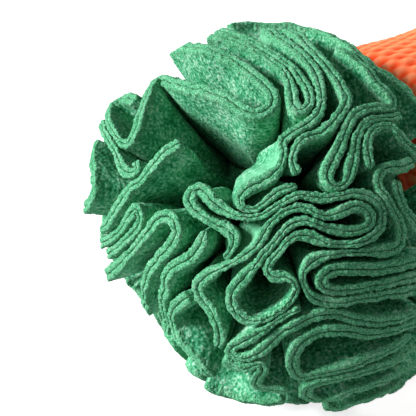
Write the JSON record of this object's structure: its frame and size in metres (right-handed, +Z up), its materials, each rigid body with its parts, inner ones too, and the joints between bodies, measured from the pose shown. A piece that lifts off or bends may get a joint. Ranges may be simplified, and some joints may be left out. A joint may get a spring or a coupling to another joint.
{
  "type": "plush snuffle toy",
  "caption": "Carrot-shaped plush snuffle toy: a ball of gathered green fleece ruffles for hiding treats, on a stuffed orange knit body with a squeaker inside.",
  "frame": {"origin": "middle of the toy's length and width on the surface that it lies on", "axes": "+Z up, +X along the toy from the ball of ruffles towards the tail's tip"},
  "size_m": [0.3858, 0.1501, 0.1505],
  "materials": {
    "green_fleece": "matte, napped",
    "orange_knit": "matte, chunky knit",
    "orange_thread": "matte",
    "cotton_lining": "matte",
    "polyester_fill": "matte, fluffy",
    "squeaker_plastic": "satin",
    "reed_plastic": "satin"
  },
  "bodies": {
    "toy": {"body_gore_belly": "orange_knit", "body_gore_left": "orange_knit", "body_gore_back": "orange_knit", "body_gore_right": "orange_knit", "tail_cap": "orange_knit", "neck_gathering_cord": "orange_thread", "lining_bag": "cotton_lining", "stuffing_front": "polyester_fill", "stuffing_rear": "polyester_fill", "bulb_stuffing": "polyester_fill", "neck_disc": "green_fleece", "ruffle_base_bulb": "green_fleece", "ruffle_crown_hairpin": "green_fleece", "ruffle_left_curl": "green_fleece", "ruffle_crown_fold": "green_fleece", "ruffle_long_fold": "green_fleece", "ruffle_right_fold": "green_fleece", "ruffle_shoulder_loop": "green_fleece", "ruffle_neck_fold": "green_fleece", "ruffle_middle_labyrinth": "green_fleece", "ruffle_side_loop": "green_fleece", "ruffle_side_tongue": "green_fleece", "ruffle_side_hairpin": "green_fleece", "ruffle_lower_hairpin": "green_fleece", "ruffle_lower_loop": "green_fleece", "ruffle_bottom_hairpin": "green_fleece", "ruffle_left_ridge": "green_fleece", "ruffle_far_left_edge": "green_fleece", "ruffle_left_fold": "green_fleece", "ruffle_left_arch": "green_fleece", "ruffle_left_wave": "green_fleece", "ruffle_lower_left_wave": "green_fleece", "ruffle_bottom_curl": "green_fleece", "ruffle_bottom_edge": "green_fleece", "ruffle_top_edge": "green_fleece", "ruffle_collar": "green_fleece", "ruffle_bottom_right_edge": "green_fleece", "ruffle_collar_top": "green_fleece", "ruffle_collar_low": "green_fleece", "ruffle_back_row_1_1": "green_fleece", "ruffle_back_row_1_2": "green_fleece", "ruffle_back_row_1_3": "green_fleece", "ruffle_back_row_2": "green_fleece", "ruffle_back_row_3": "green_fleece", "ruffle_back_row_4_1": "green_fleece", "ruffle_back_row_4_2": "green_fleece", "ruffle_back_row_4_3": "green_fleece", "squeaker_base": "squeaker_plastic", "squeaker_bellows": "squeaker_plastic", "reed_holder": "reed_plastic", "reed": "reed_plastic"},
    "squeaker_plunger": {"squeaker_top": "squeaker_plastic"}
  },
  "joints": [
    {"name": "squeaker_squeeze", "type": "slide", "parent": "toy", "child": "squeaker_plunger", "axis": [0, 0, -1], "range_m": [0, 0.008], "stiffness_N_per_m": 1000, "deforming": ["squeaker_bellows"]}
  ]
}
